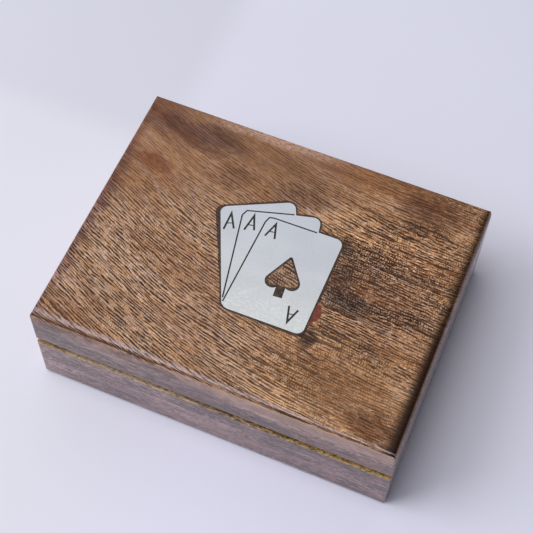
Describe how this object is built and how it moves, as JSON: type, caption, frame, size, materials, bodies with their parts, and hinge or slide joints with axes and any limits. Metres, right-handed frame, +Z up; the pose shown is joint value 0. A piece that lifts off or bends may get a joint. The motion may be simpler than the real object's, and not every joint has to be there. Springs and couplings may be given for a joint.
{
  "type": "poker chip case",
  "caption": "Rectangular hinged wooden case with a drilled rack for stacks of poker chips and a polished metal inlay of three fanned aces in the lid.",
  "frame": {"origin": "centre of the base's underside, midway between the outer walls", "axes": "+X along the length to the right seen from the front, +Y to the back where the hinges are, +Z up"},
  "size_m": [0.15, 0.1199, 0.048],
  "materials": {
    "lid_top_wood": "clear gloss lacquer over dark brown open-grained hardwood",
    "lid_side_wood": "clear gloss lacquer",
    "base_wood": "clear gloss lacquer, golden on the rim",
    "rack_wood": "satin lacquer",
    "inlay_metal": "sanded and polished flush",
    "inlay_resin": "dark resin glue, sanded flush",
    "engraving_wax": "dark wax",
    "wood_filler": "dark red filler under lacquer",
    "felt": "short-pile green felt",
    "hinge_brass": "lightly brushed",
    "pin_steel": "drawn wire"
  },
  "bodies": {
    "base": {"base_front_wall": "base_wood", "base_back_wall": "base_wood", "base_left_wall": "base_wood", "base_right_wall": "base_wood", "base_bottom_panel": "base_wood", "base_felt": "felt", "chip_rack": "rack_wood", "left_hinge_base_leaf": "hinge_brass", "left_hinge_pin": "pin_steel", "right_hinge_base_leaf": "hinge_brass", "right_hinge_pin": "pin_steel", "base_hinge_screws": "hinge_brass"},
    "lid": {"lid_top_panel": "lid_top_wood", "lid_front_wall": "lid_side_wood", "lid_back_wall": "lid_side_wood", "lid_left_wall": "lid_side_wood", "lid_right_wall": "lid_side_wood", "lid_felt": "felt", "inlay_plate": "inlay_metal", "inlay_glue_bed": "inlay_resin", "engraving_infill": "engraving_wax", "filler_patch": "wood_filler", "left_hinge_lid_leaf": "hinge_brass", "right_hinge_lid_leaf": "hinge_brass", "lid_hinge_screws": "hinge_brass"}
  },
  "joints": [
    {"name": "lid_hinge", "type": "hinge", "parent": "base", "child": "lid", "pos_m": [0, 0.0601, 0.0258], "axis": [-1, 0, 0], "range_deg": [0, 180]}
  ]
}
